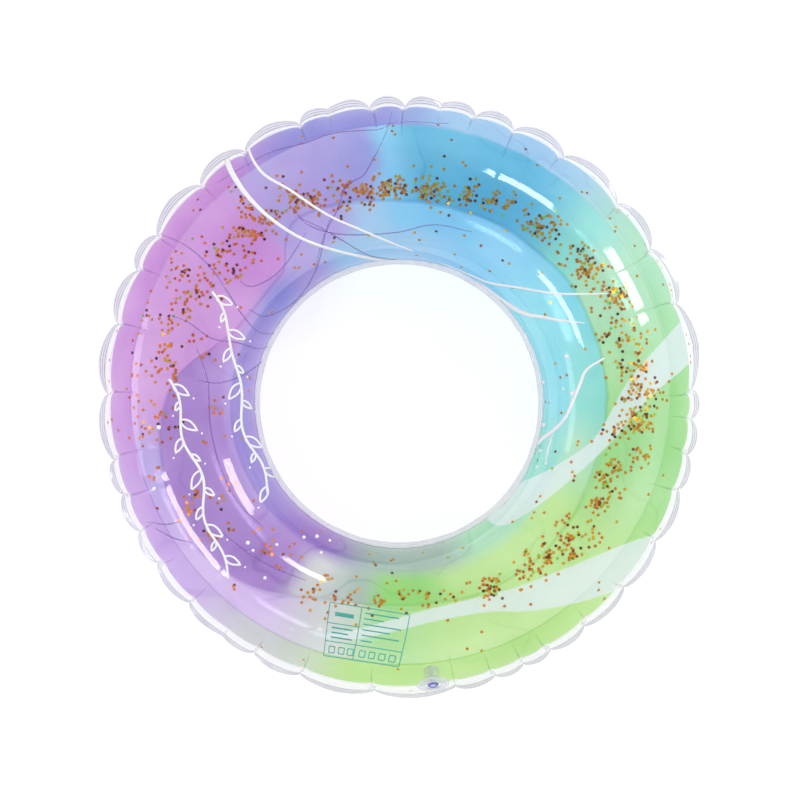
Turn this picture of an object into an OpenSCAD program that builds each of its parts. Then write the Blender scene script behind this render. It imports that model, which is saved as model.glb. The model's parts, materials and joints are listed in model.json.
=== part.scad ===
// Inflatable swim ring: two clear PVC films welded into a tube, with loose sequins
// sealed inside and a pop-up air valve. Millimetres, +Z up, origin on the floor at the
// ring's centre. The valve faces outwards and up, close to the -Y side.

/* [Ring] */
// Radius of the tube's centre line
tube_mid_r = 256; // [236:1:276]
// Radius of the inflated tube, to the outside of the film
tube_r = 88; // [80:1:92]
// Thickness of the PVC film
film_t = 0.4; // [0.3:0.05:0.6]
// Width of the strip on which the ring rests
rest_w = 16; // [10:1:24]

/* [Welds] */
// Radial width of the fused margin round the swimmer's hole
inner_weld_w = 6; // [4:0.5:8]
// Radial width of the outer margin in the valley of a pucker
outer_weld_w = 1.5; // [1:0.5:4]
// How far a pucker's lobe stands out past its valleys
scallop_h = 8.5; // [4:0.5:12]
// Number of puckers round the outer weld
scallop_n = 38; // [28:1:46]

/* [Valve] */
// Direction of the valve round the ring, from +X
valve_az = -83.4; // [-180:0.1:180]
// Angle of the valve's axis above the horizontal
valve_el = 30; // [24:1:60]
// Radius of the flange that is welded to the film
flange_r = 19; // [16:0.5:22]
// Thickness of the flange
flange_t = 0.8; // [0.6:0.1:1.2]
// Inside radius of the cup that the stem sinks into
cup_r = 9; // [8.8:0.1:10]
// Outside radius of the stem
stem_r = 6.5; // [6:0.1:6.8]
// Radius of the stem's air bore
bore_r = 4.2; // [3.6:0.1:4.6]
// How far the stem pops out of its cup
pop_travel = 18; // [14:1:20]
// How far the plug pulls out on its strap
plug_travel = 12; // [9:1:14]

/* [Sequins] */
// Radius of a sequin
sequin_r = 1.8; // [1.4:0.1:2]
// Thickness of a sequin
sequin_t = 0.15; // [0.1:0.05:0.3]
// Number of places along the drift, shared between the four finishes
drift_n = 300; // [240:12:324]
// How far the drift spreads to each side of the tube's lowest line
drift_spread = 21; // [10:1:30]

/* [Hidden] */
$fn = 96;

// The tube's centre stands low enough for a strip of rest_w to lie on the floor.
tube_z = sqrt(tube_r * tube_r - rest_w * rest_w / 4);
weld_t = 2 * film_t;
film_inner_r = tube_r - film_t;
big = 2 * tube_r;

web_t = 0.6;
collar_h = 1.6;
collar_w = 2;
gap = 0.3;
film_hole_r = cup_r + web_t + 0.2;

// Heights in the valve's own frame, from the film's outside, + outwards
stem_top = -1;
cup_floor = -pop_travel - 2;
stem_foot = cup_floor - 2;
foot_collar_h = 1;
lip_r = stem_r + 0.5;
lip_h = 2;

shank_clearance = 0.06;
shank_l = 7;
plug_head_r = 6.3;
plug_head_h = 2.3;
plug_seat = stem_top + 0.1;

flap_r = 5.6;
flap_t = 0.6;
flap_hinge_x = -5;
flap_top = stem_foot - 0.1;

strap_w = 4;
strap_loop_r = 2;
strap_t = 0.8;
strap_x = plug_head_r + 0.4;
strap_z = stem_top + 0.7;

sequin_lift = 0.6;
golden_angle = 137.508;

// Puts a child in the valve's frame: its origin on the film's outside, +Z outwards,
// +X down the tube's flank.
module at_valve() {
    rotate([0, 0, valve_az])
    translate([tube_mid_r, 0, tube_z])
    rotate([0, 90 - valve_el, 0])
    translate([0, 0, tube_r])
    children();
}

// The tube's cross-section inside a surface of radius r, flat where the floor is
module tube_section(r, floor_y) {
    intersection() {
        circle(r = r);
        translate([-big, floor_y]) square([2 * big, 2 * big]);
    }
}

// A ring with the given cross-section, centred on the tube's centre line
module swept() {
    translate([0, 0, tube_z])
    rotate_extrude()
    translate([tube_mid_r, 0])
    children();
}

// Upper printed film: the tube's wall above the two welds, with the valve's hole
module top_sheet() {
    color([0.62, 0.78, 0.88, 0.6])
    difference() {
        swept() intersection() {
            difference() {
                circle(r = tube_r);
                circle(r = film_inner_r);
            }
            translate([-big, film_t]) square([2 * big, big]);
        }
        at_valve() translate([0, 0, -6]) cylinder(r = film_hole_r, h = 12);
    }
}

// Lower printed film, with the flat strip that rests on the floor
module bottom_sheet() {
    color([0.66, 0.85, 0.62, 0.6])
    swept() intersection() {
        difference() {
            tube_section(tube_r, -tube_z);
            tube_section(film_inner_r, film_t - tube_z);
        }
        translate([-big, -big - film_t]) square([2 * big, big]);
    }
}

// Radius of the outer margin's edge at an angle: rounded lobes with sharp valleys
function scallop(a) =
    tube_mid_r + tube_r + outer_weld_w
    + scallop_h * pow(abs(sin(a * scallop_n / 2)), 0.6);

// Outer margin, where the two films are fused: flat, with one lobe for each pucker
module outer_weld_seam() {
    steps = 6 * scallop_n;
    color([0.92, 0.94, 0.96, 0.5])
    translate([0, 0, tube_z - film_t])
    difference() {
        linear_extrude(weld_t)
        polygon([for (i = [0:steps - 1])
            let (a = i * 360 / steps) scallop(a) * [cos(a), sin(a)]]);
        translate([0, 0, -1])
        cylinder(r = tube_mid_r + film_inner_r, h = weld_t + 2, $fn = 360);
    }
}

// Inner margin round the swimmer's hole: pulled tight, so it stays a plain ring
module inner_weld_seam() {
    tube_inside = tube_mid_r - film_inner_r;
    hole_r = tube_mid_r - tube_r - inner_weld_w;
    color([0.95, 0.96, 0.98, 0.6])
    translate([0, 0, tube_z - film_t])
    difference() {
        cylinder(r = tube_inside, h = weld_t);
        translate([0, 0, -1]) cylinder(r = hole_r, h = weld_t + 2);
    }
}

// Flange: a soft disc that follows the film's curve, with a low collar round the mouth
module valve_flange() {
    mouth_r = cup_r + web_t;
    color([0.85, 0.90, 0.98, 0.7])
    difference() {
        union() {
            intersection() {
                swept() difference() {
                    circle(r = tube_r + flange_t);
                    circle(r = tube_r);
                }
                at_valve() translate([0, 0, -8]) cylinder(r = flange_r, h = 16);
            }
            at_valve()
            translate([0, 0, flange_t / 2])
            cylinder(r = mouth_r + collar_w, h = collar_h - flange_t / 2);
        }
        at_valve() translate([0, 0, -8]) cylinder(r = mouth_r, h = 16);
    }
}

// Web: the thin cup wall between the flange and the stem's foot
module valve_web() {
    color([0.80, 0.86, 0.98, 0.7])
    at_valve()
    difference() {
        translate([0, 0, cup_floor - web_t])
        cylinder(r = cup_r + web_t, h = flange_t - cup_floor + web_t);
        translate([0, 0, cup_floor]) cylinder(r = cup_r, h = big);
        translate([0, 0, cup_floor - 2]) cylinder(r = stem_r + gap, h = 4);
    }
}

// Stem: the mouthpiece tube, with a lip at its mouth and a collar near its foot
module valve_stem() {
    color([0.78, 0.84, 0.98, 0.8])
    at_valve()
    difference() {
        union() {
            translate([0, 0, stem_foot]) cylinder(r = stem_r, h = stem_top - stem_foot);
            translate([0, 0, stem_top - lip_h]) cylinder(r = lip_r, h = lip_h);
            translate([0, 0, cup_floor + gap])
            cylinder(r = cup_r - gap - 0.1, h = foot_collar_h);
        }
        translate([0, 0, stem_foot - 1])
        cylinder(r = bore_r, h = stem_top - stem_foot + 2);
    }
}

// Check flap: a thin disc under the stem's foot, cut straight along its hinge line
module valve_check_flap() {
    color([0.86, 0.90, 0.98, 0.8])
    at_valve()
    intersection() {
        translate([0, 0, flap_top - flap_t]) cylinder(r = flap_r, h = flap_t);
        translate([flap_hinge_x, -flap_r, flap_top - 2]) cube([3 * flap_r, 2 * flap_r, 4]);
    }
}

// Plug: a shank with a tapered tip that fills the bore, under a head with a bevelled edge
module valve_plug() {
    shank_r = bore_r - shank_clearance;
    tip_h = 1.5;
    bevel = 0.9;
    color([0.42, 0.42, 0.86])
    at_valve()
    union() {
        translate([0, 0, plug_seat - shank_l + tip_h])
        cylinder(r = shank_r, h = shank_l - tip_h);
        translate([0, 0, plug_seat - shank_l])
        cylinder(r1 = shank_r - 0.8, r2 = shank_r, h = tip_h);
        translate([0, 0, plug_seat])
        cylinder(r = plug_head_r, h = plug_head_h - bevel);
        translate([0, 0, plug_seat + plug_head_h - bevel])
        cylinder(r1 = plug_head_r, r2 = plug_head_r - bevel, h = bevel);
    }
}

// Strap: a small loop from the stem's lip to the edge of the plug's head
module valve_strap() {
    color([0.60, 0.64, 0.94])
    at_valve()
    translate([strap_x, strap_w / 2, strap_z])
    rotate([90, 0, 0])
    linear_extrude(strap_w)
    intersection() {
        difference() {
            circle(r = strap_loop_r);
            circle(r = strap_loop_r - strap_t);
        }
        translate([0, -strap_loop_r]) square([strap_loop_r, 2 * strap_loop_r]);
    }
}

// One sequin lying on the lower film, at place k along the drift
module sequin(k) {
    side = drift_spread * sin(k * golden_angle) * abs(cos(k * golden_angle / 3));
    rotate([0, 0, k * 360 / drift_n])
    translate([tube_mid_r, 0, tube_z])
    rotate([0, -side / film_inner_r * 180 / PI, 0])
    translate([0, 0, sequin_lift - film_inner_r])
    cylinder(r = sequin_r, h = sequin_t);
}

// The drift's places go round the finishes in turn: the remainder of k by 12 picks one.
module sequins(remainders) {
    for (k = [0:drift_n - 1])
        if (len(search(k % 12, remainders)) > 0) sequin(k);
}

module sequins_gold() {
    color([0.93, 0.62, 0.14]) sequins([0, 2, 5, 7, 10]);
}

module sequins_copper() {
    color([0.80, 0.36, 0.10]) sequins([1, 4, 8]);
}

module sequins_wine() {
    color([0.36, 0.10, 0.06]) sequins([3, 9]);
}

module sequins_holographic() {
    color([0.62, 0.84, 0.30]) sequins([6, 11]);
}

top_sheet();
bottom_sheet();
outer_weld_seam();
inner_weld_seam();
valve_flange();
valve_web();
valve_stem();
valve_check_flap();
valve_plug();
valve_strap();
sequins_gold();
sequins_copper();
sequins_wine();
sequins_holographic();
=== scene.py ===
"""Inflatable swim ring: two printed clear films welded into a tube, with loose sequins inside.

Metres, +Z up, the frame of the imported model. The sections follow the ring as it is made:
the films, the welds, the printed artwork, the sequins and then the air valve.
"""
import json
import math

import bpy
import numpy as np
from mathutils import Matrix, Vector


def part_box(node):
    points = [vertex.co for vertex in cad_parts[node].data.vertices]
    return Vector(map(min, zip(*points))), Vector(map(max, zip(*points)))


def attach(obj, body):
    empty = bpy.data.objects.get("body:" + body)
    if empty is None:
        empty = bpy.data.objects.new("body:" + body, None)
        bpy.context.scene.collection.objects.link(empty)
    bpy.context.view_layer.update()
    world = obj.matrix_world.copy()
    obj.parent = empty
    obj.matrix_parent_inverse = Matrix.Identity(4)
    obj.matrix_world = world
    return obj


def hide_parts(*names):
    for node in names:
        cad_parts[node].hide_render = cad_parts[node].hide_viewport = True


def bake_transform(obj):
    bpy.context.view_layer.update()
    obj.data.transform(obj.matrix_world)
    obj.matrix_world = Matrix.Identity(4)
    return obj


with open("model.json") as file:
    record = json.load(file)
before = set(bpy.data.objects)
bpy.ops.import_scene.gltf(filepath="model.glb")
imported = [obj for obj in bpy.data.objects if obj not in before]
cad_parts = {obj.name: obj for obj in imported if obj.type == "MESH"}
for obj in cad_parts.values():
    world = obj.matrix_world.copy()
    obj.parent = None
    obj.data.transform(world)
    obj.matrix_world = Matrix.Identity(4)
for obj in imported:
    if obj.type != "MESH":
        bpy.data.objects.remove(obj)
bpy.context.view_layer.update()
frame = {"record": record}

scene = bpy.context.scene
scene.view_settings.view_transform = "Standard"
scene.cycles.transparent_max_bounces = 32
scene.cycles.max_bounces = 16

# ------------------------------------------------------------------ floor, light and camera
# A white floor under the ring, white all-round light, and four soft boxes that stand where
# their glints fall on the upper right, the top, the left and the lower left of the tube.
MM = 0.001
top_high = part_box("top_sheet")[1]
weld_low, weld_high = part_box("outer_weld_seam")
TUBE_Z = (weld_low[2] + weld_high[2]) / 2
TUBE_R = top_high[2] - TUBE_Z
MID_R = top_high[0] - TUBE_R
VIEW_WIDTH = 0.936
CAMERA_H = 3.4


def add_node(tree, kind, inputs=None, **settings):
    """Adds a shader node. inputs maps a socket to its value, or to the output that feeds it."""
    made = tree.nodes.new("ShaderNode" + kind)
    for key, value in settings.items():
        setattr(made, key, value)
    for key, value in (inputs or {}).items():
        if isinstance(value, bpy.types.NodeSocket):
            tree.links.new(value, made.inputs[key])
        else:
            made.inputs[key].default_value = value
    return made


def new_material(name):
    """An empty node material and its output node."""
    made = bpy.data.materials.new(name)
    made.use_nodes = True
    made.node_tree.nodes.clear()
    return made, made.node_tree, add_node(made.node_tree, "OutputMaterial")


def place_floor():
    """A white floor, a little mottled so that it isn't one flat tone."""
    size = 8.0
    mesh = bpy.data.meshes.new("floor")
    corners = [(-size, -size, 0), (size, -size, 0), (size, size, 0), (-size, size, 0)]
    mesh.from_pydata(corners, [], [(0, 1, 2, 3)])
    floor = bpy.data.objects.new("floor", mesh)
    scene.collection.objects.link(floor)
    material, tree, out = new_material("floor_white")
    place = add_node(tree, "TexCoord").outputs["Object"]
    noise = add_node(tree, "TexNoise", {"Vector": place, "Scale": 3.0})
    tone = add_node(tree, "ValToRGB", {"Fac": noise.outputs["Fac"]})
    tone.color_ramp.elements[0].color = (0.93, 0.93, 0.93, 1)
    tone.color_ramp.elements[1].color = (0.96, 0.96, 0.96, 1)
    skin = add_node(tree, "BsdfDiffuse", {"Color": tone.outputs["Color"]})
    glow = add_node(tree, "Emission", {"Color": (1, 1, 1, 1), "Strength": 1.30})
    skin = add_node(tree, "MixShader", {0: 0.5, 1: skin.outputs[0], 2: glow.outputs[0]})
    tree.links.new(skin.outputs[0], out.inputs["Surface"])
    mesh.materials.append(material)


def place_softbox(name, azimuth, elevation, distance, width, height, power):
    """An area light at that bearing from the ring's centre, facing it, its width level."""
    lamp = bpy.data.lights.new(name, "AREA")
    lamp.shape = "RECTANGLE"
    lamp.size = width
    lamp.size_y = height
    lamp.energy = power
    obj = bpy.data.objects.new(name, lamp)
    az, el = math.radians(azimuth), math.radians(elevation)
    flat = distance * math.cos(el)
    obj.location = (flat * math.cos(az), flat * math.sin(az), distance * math.sin(el) + TUBE_Z)
    obj.rotation_euler = (math.pi / 2 - el, 0, az + math.pi / 2)
    scene.collection.objects.link(obj)


place_floor()
place_softbox("softbox_right", 27, 32, 2.4, 0.66, 0.62, 17)
place_softbox("softbox_top", 60, 48, 2.4, 0.44, 0.34, 8)
place_softbox("softbox_left", 211, 48, 2.4, 0.72, 0.34, 11)
place_softbox("softbox_side", 180, 16, 2.6, 1.5, 0.50, 6)

world = bpy.data.worlds.new("white_surround")
scene.world = world
world.use_nodes = True
sky = world.node_tree
sky_height = add_node(sky, "SeparateXYZ", {"Vector": add_node(sky, "TexCoord").outputs["Generated"]})
sky_span = {
    "Value": sky_height.outputs["Z"],
    "From Min": 0.62, "From Max": 0.95, "To Min": 0.86, "To Max": 0.46,
}
sky_strength = add_node(sky, "MapRange", sky_span, interpolation_type="SMOOTHSTEP").outputs[0]
sky.links.new(sky_strength, sky.nodes["Background"].inputs["Strength"])
sky.nodes["Background"].inputs["Color"].default_value = (1, 1, 1, 1)

camera = bpy.data.cameras.new("camera")
camera.sensor_width = 36.0
camera.lens = camera.sensor_width * (CAMERA_H - TUBE_Z) / VIEW_WIDTH
camera_object = bpy.data.objects.new("camera", camera)
camera_object.location = (0.0, -0.001, CAMERA_H)
scene.collection.objects.link(camera_object)
scene.camera = camera_object

# ------------------------------------------------------------------ the tube's shape
# Air holds the two films in a round tube. Round the outer weld the film is too long for its
# place, so it gathers into lobes with a sharp crease between each pair; the inner weld is
# pulled tight and stays a circle, set a little off the ring's centre.
valley_deg = np.array([
    2, 19, 31, 42, 56, 67, 75, 82, 89, 96, 104, 110, 122, 133, 146, 154, 165, 179, 192, 199,
    207, 214, 224, 233, 240, 250, 265, 281, 289, 295, 301, 309, 320, 331, 342, 349, 356,
])
valley_depth = np.ones(len(valley_deg))
valley_depth[[7, 10, 23]] = 0.45
lobe_deg = (np.roll(valley_deg, -1) - valley_deg) % 360
lobe_mid_deg = (valley_deg + lobe_deg / 2) % 360
lobe_size = 0.78 + 0.27 * np.cos(np.radians(lobe_mid_deg - 95))
lobe_height = (3.4 + 0.42 * lobe_deg) * MM * lobe_size
crease_rng = np.random.default_rng(7)
crease_length = crease_rng.uniform(0.35, 0.8, len(valley_deg))
crease_slant = crease_rng.uniform(-0.035, 0.035, len(valley_deg))

stem_joint = [j for j in frame["record"]["behaviour"]["joints"] if j["name"] == "stem_pop"][0]
mouth = [m for m in frame["record"]["mounts"] if m["name"] == "inflation_mouth"][0]
VALVE_OUT = np.array(stem_joint["axis"])
VALVE_SIDE = np.cross((0, 0, 1), VALVE_OUT)
VALVE_SIDE /= np.linalg.norm(VALVE_SIDE)
VALVE_DOWN = np.cross(VALVE_SIDE, VALVE_OUT)
VALVE_AT = np.array(mouth["pos_m"]) + 1.0 * MM * VALVE_OUT


def smooth(x, low, high):
    """0 below low, 1 above high, and 3 s^2 - 2 s^3 between."""
    s = np.clip((x - low) / (high - low), 0, 1)
    return s * s * (3 - 2 * s)


def lobes(t):
    """How far each angle t is up its lobe, and its distance along the seam from a crease.

    Across a lobe s runs from 0 to 1 and the crest is sin(pi s) ** 0.6. A shallow valley lifts
    it towards 1. Both ends' creases are given by the nearer one's number.
    """
    deg = np.degrees(t) % 360
    i = (np.searchsorted(valley_deg, deg, side="right") - 1) % len(valley_deg)
    after = (i + 1) % len(valley_deg)
    s = ((deg - valley_deg[i]) % 360) / lobe_deg[i]
    depth = valley_depth[i] * (1 - s) + valley_depth[after] * s
    crest = 1 - depth * (1 - np.sin(np.pi * np.clip(s, 0, 1)) ** 0.6)
    near = np.where(s < 0.5, i, after)
    away = np.radians(np.minimum(s, 1 - s) * lobe_deg[i]) * (MID_R + TUBE_R)
    return crest, near, away


def inner_seam_r(t):
    """Radius of the tube's inside edge: a circle whose centre is 1 mm left, 5 mm to the front."""
    return MID_R - TUBE_R - 1.0 * MM * np.cos(t) - 5.0 * MM * np.sin(t)


def seam_shift(t):
    """How far the outer seam stands out from the plain tube, from a valley to a lobe's crest."""
    height = np.interp(np.degrees(t) % 360, lobe_mid_deg, lobe_height, period=360)
    return height * lobes(t)[0] - 3.8 * MM


def tube_point(t, phi):
    """Points on the outside of the film. t goes round the ring from +X; phi goes round the tube.

    phi is 0 at the outer weld and pi at the inner one, above 0 on the upper film. The section
    is r = R(t) + A(t) cos(phi), z = Z + B sin(phi). The lobes push r out by seam_shift, fading
    as exp(-(phi / 0.42) ** 1.6). Creases sink along the normal and lean a little round the ring.
    Near the valve all that fades out, and the film is the plain tube that the flange lies on.
    """
    t, phi = np.broadcast_arrays(np.asarray(t, float), np.asarray(phi, float))
    off = np.abs(phi)
    crest, near, away = lobes(t)
    inside = inner_seam_r(t)
    outside = MID_R + TUBE_R
    mid, half = (outside + inside) / 2, (outside - inside) / 2
    r = mid + half * np.cos(phi) + seam_shift(t) * np.exp(-((off / 0.42) ** 1.6))
    z = TUBE_Z + TUBE_R * np.sin(phi)
    sink = 3.2 * MM * valley_depth[near] * np.exp(-away / (3.0 * MM))
    sink = sink * np.exp(-((off / crease_length[near]) ** 1.5))
    ripple = 0.14 * MM * np.sin(61 * t + 2 * np.sin(5 * t)) * np.exp(-(((np.pi - off) / 0.3) ** 2))
    swell = 0.5 * MM * np.sin(3 * t + 2.1) * np.sin(2 * phi) + 0.3 * MM * np.sin(7 * t + 3 * phi)
    push = (swell + ripple) * np.minimum(1, off / 0.5) - sink
    r = r + push * np.cos(phi)
    z = z + push * np.sin(phi)
    lean = np.interp(np.degrees(t) % 360, valley_deg, crease_slant, period=360)
    turn = t + lean * (1 - np.exp(-off / 0.5)) * np.exp(-((off / 1.2) ** 4))
    shaped = np.stack([r * np.cos(turn), r * np.sin(turn), z], axis=-1)
    plain_r = MID_R + TUBE_R * np.cos(phi)
    plain = np.stack([plain_r * np.cos(t), plain_r * np.sin(t), TUBE_Z + TUBE_R * np.sin(phi)], -1)
    share = smooth(np.linalg.norm(plain - VALVE_AT, axis=-1), 21 * MM, 40 * MM)[..., None]
    point = plain + share * (shaped - plain)
    point[..., 2] = np.maximum(point[..., 2], 0.3 * MM)
    return point


def tube_normal(t, phi):
    """The film's outward normal, from small steps along t and phi."""
    step = 2e-4
    along = tube_point(t + step, phi) - tube_point(t - step, phi)
    across = tube_point(t, phi + step) - tube_point(t, phi - step)
    normal = np.cross(along, across)
    return normal / np.linalg.norm(normal, axis=-1, keepdims=True)


def seen_from_above(points):
    """Where points appear from the camera, on the plane of the welds: x D / (D - z + Z)."""
    far = CAMERA_H - TUBE_Z
    return points[..., :2] * (far / (far - points[..., 2:] + TUBE_Z))


def plan_to_tube(x, y):
    """t and phi of the upper film at a place in that view, by repeating phi = arccos((r - R) / A).

    Each turn draws r in by (D - A sin(phi)) / D, for the height of the film there.
    """
    t = np.arctan2(y, x)
    inside = inner_seam_r(t)
    outside = MID_R + TUBE_R
    middle, half = (outside + inside) / 2, (outside - inside) / 2
    phi = np.full(np.shape(t), np.pi / 2)
    for _ in range(5):
        r = np.hypot(x, y) * (1 - TUBE_R * np.sin(phi) / (CAMERA_H - TUBE_Z))
        phi = np.arccos(np.clip((r - middle) / half, -0.999, 0.999))
    return t, phi


def grid_faces(rows, columns, wrap_rows, wrap_columns):
    """The quads of a grid of vertices, turned so that (along columns) x (along rows) is outward."""
    i = np.arange(rows if wrap_rows else rows - 1)
    j = np.arange(columns if wrap_columns else columns - 1)
    i, j = [a.ravel() for a in np.meshgrid(i, j, indexing="ij")]
    up, on = (i + 1) % rows, (j + 1) % columns
    corners = np.stack([i * columns + j, i * columns + on, up * columns + on, up * columns + j], 1)
    return corners, i, j


def make_piece(name, vertices, faces, materials, smooth_shaded=True):
    """A mesh object from vertices and faces, linked to the scene."""
    mesh = bpy.data.meshes.new(name)
    mesh.from_pydata(np.asarray(vertices).reshape(-1, 3).tolist(), [], [tuple(f) for f in faces])
    mesh.polygons.foreach_set("use_smooth", [smooth_shaded] * len(mesh.polygons))
    for material in materials:
        mesh.materials.append(material)
    mesh.update()
    obj = bpy.data.objects.new(name, mesh)
    scene.collection.objects.link(obj)
    return obj


# ------------------------------------------------------------------ printed films
# Each film is clear PVC, printed with a soft wash of colours that run into each other, and
# glossy outside. The upper print is thin; the lower one is deeper and stops short of the
# welds, so its edges show through the ring. Both are fused together at the two welds.
INKS = {
    "leaf": "A8DC98", "lime": "C0E498", "meadow": "98D878", "mint": "B0E0C0",
    "teal": "88D8D0", "aqua": "88D8E8", "sky": "80C8EC", "ocean": "50ACD4",
    "mist": "A0C8E8", "iris": "9494D8", "lilac": "B0A0DC", "violet": "A884CC",
    "orchid": "C88CD4", "pink": "D0A0DC", "lavender": "D0B8E8", "pearl": "D0D4D4",
    "sage": "A8BCB4",
}
WASH_RIM = [
    (0, "leaf"), (30, "mint"), (55, "mist"), (75, "mist"), (95, "iris"), (110, "iris"),
    (130, "orchid"), (170, "pink"), (220, "lavender"), (240, "pearl"), (260, "lime"),
    (320, "lime"), (345, "leaf"),
]
WASH_CROWN = [
    (0, "leaf"), (30, "mint"), (40, "teal"), (55, "ocean"), (85, "ocean"), (95, "sky"),
    (100, "iris"), (115, "lilac"), (125, "lilac"), (130, "orchid"), (180, "pink"),
    (195, "lilac"), (215, "lavender"), (235, "lavender"), (250, "pearl"), (265, "leaf"),
    (285, "lime"), (320, "lime"), (345, "leaf"),
]
WASH_WAIST = [
    (0, "teal"), (30, "aqua"), (55, "sky"), (90, "sky"), (100, "mist"), (110, "lilac"),
    (130, "lilac"), (135, "orchid"), (155, "orchid"), (170, "violet"), (235, "violet"),
    (245, "pearl"), (255, "sage"), (265, "meadow"), (275, "meadow"), (290, "lime"),
    (325, "lime"), (345, "mint"),
]
WASH_INNER = [
    (0, "aqua"), (30, "aqua"), (60, "sky"), (90, "mist"), (110, "mist"), (125, "lilac"),
    (140, "iris"), (160, "lilac"), (210, "lilac"), (240, "violet"), (260, "sage"),
    (285, "sage"), (300, "mint"), (345, "teal"),
]
UNPRINTED = "E0EAEE"
RIM_EDGE = [
    (0, 0.29), (20, 0.285), (40, 0.28), (60, 0.268), (80, 0.26), (100, 0.262), (120, 0.27),
    (180, 0.30), (240, 0.325), (300, 0.32), (340, 0.30), (359, 0.29),
]
WAIST_EDGE = [
    (0, 0.56), (40, 0.58), (80, 0.60), (96, 0.60), (110, 0.57), (121, 0.57), (127, 0.64),
    (132, 0.74), (145, 0.745), (158, 0.70), (166, 0.60), (172, 0.52), (179, 0.46), (187, 0.42),
    (195, 0.40), (205, 0.39), (216, 0.39), (226, 0.42), (236, 0.47), (246, 0.54), (256, 0.58),
    (300, 0.57), (359, 0.56),
]
PRINT_START = (0.148, -0.032, 90)
PRINT_STOP = (0.975, 0.0, 0)
DEEP_START = (0.293, -0.034, 80)
DEEP_STOP = (0.820, 0.074, 20)


def paint(code, strength=1.0):
    """A six-digit sRGB colour as linear RGBA."""
    s = np.array([int(code[k:k + 2], 16) for k in (0, 2, 4)]) / 255
    linear = np.where(s <= 0.04045, s / 12.92, ((s + 0.055) / 1.055) ** 2.4) * strength
    return (*linear.tolist(), 1.0)


def maths(tree, operation, a, b=0.0, c=0.0):
    """The output of a Math node."""
    return add_node(tree, "Math", {0: a, 1: b, 2: c}, operation=operation).outputs[0]


def step_up(tree, value, low, high):
    """The output of a smooth step of value from low to high."""
    inputs = {"Value": value, "From Min": low, "From Max": high}
    return add_node(tree, "MapRange", inputs, interpolation_type="SMOOTHSTEP").outputs[0]


def blended(tree, factor, a, b, blend_type="MIX"):
    """The colour output of a Mix node."""
    made = add_node(tree, "Mix", data_type="RGBA", blend_type=blend_type)
    for key, value in (("Factor_Float", factor), ("A_Color", a), ("B_Color", b)):
        socket = [s for s in made.inputs if s.identifier == key][0]
        if isinstance(value, bpy.types.NodeSocket):
            tree.links.new(value, socket)
        else:
            socket.default_value = value
    return [s for s in made.outputs if s.identifier == "Result_Color"][0]


def wash_ramp(tree, turn, stops):
    """A colour ramp of inks round the ring, closed where the last stop meets the first."""
    ramp = add_node(tree, "ValToRGB", {"Fac": turn})
    ramp.color_ramp.interpolation = "EASE"
    ramp.color_ramp.elements[0].color = paint(INKS[stops[0][1]])
    ramp.color_ramp.elements[1].color = paint(INKS[stops[0][1]])
    for degrees, ink in stops[1:]:
        ramp.color_ramp.elements.new(degrees / 360).color = paint(INKS[ink])
    return ramp.outputs["Color"]


def noise_about_zero(tree, place, scale, detail=2.0, shift=0.0):
    """Noise between about -0.5 and 0.5, of that scale, from a place moved by shift."""
    moved = add_node(tree, "Mapping", {"Vector": place, "Location": (shift, -shift, shift)})
    inputs = {"Vector": moved.outputs[0], "Scale": scale, "Detail": detail}
    return maths(tree, "SUBTRACT", add_node(tree, "TexNoise", inputs).outputs["Fac"], 0.5)


def gloss_share(tree, ior, behind):
    """How much light a clear skin mirrors: Fresnel up to 0.32 in front, a fixed share behind."""
    front = maths(tree, "MINIMUM", add_node(tree, "Fresnel", {"IOR": ior}).outputs[0], 0.32)
    back = add_node(tree, "NewGeometry").outputs["Backfacing"]
    facing = maths(tree, "SUBTRACT", 1.0, back)
    return maths(tree, "MULTIPLY_ADD", front, facing, maths(tree, "MULTIPLY", back, behind))


def put_under_gloss(tree, out, under, roughness, behind, bump=None):
    """Covers a shader with the mirroring skin of PVC, whose index is 1.5, as the surface."""
    inputs = {"Roughness": roughness}
    if bump is not None:
        inputs["Normal"] = bump.outputs[0]
    gloss = add_node(tree, "BsdfGlossy", inputs)
    mirrored = gloss_share(tree, 1.5, behind)
    skin = add_node(tree, "MixShader", {0: mirrored, 1: under.outputs[0], 2: gloss.outputs[0]})
    tree.links.new(skin.outputs[0], out.inputs["Surface"])


def line_at(tree, distance, width):
    """1 where distance is 0, falling to 0 at width on both sides."""
    return maths(tree, "SUBTRACT", 1.0, step_up(tree, maths(tree, "ABSOLUTE", distance), 0.0, width))


def edge_ramp(tree, turn, stops):
    """Where a boundary of the wash lies across the film, as v, at each angle round the ring."""
    ramp = add_node(tree, "ValToRGB", {"Fac": turn})
    ramp.color_ramp.interpolation = "B_SPLINE"
    for element in list(ramp.color_ramp.elements)[1:]:
        ramp.color_ramp.elements.remove(element)
    ramp.color_ramp.elements[0].color = (stops[0][1], stops[0][1], stops[0][1], 1)
    for degrees, share in stops[1:]:
        ramp.color_ramp.elements.new(degrees / 360).color = (share, share, share, 1)
    return add_node(tree, "RGBToBW", {"Color": ramp.outputs["Color"]}).outputs[0]


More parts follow.
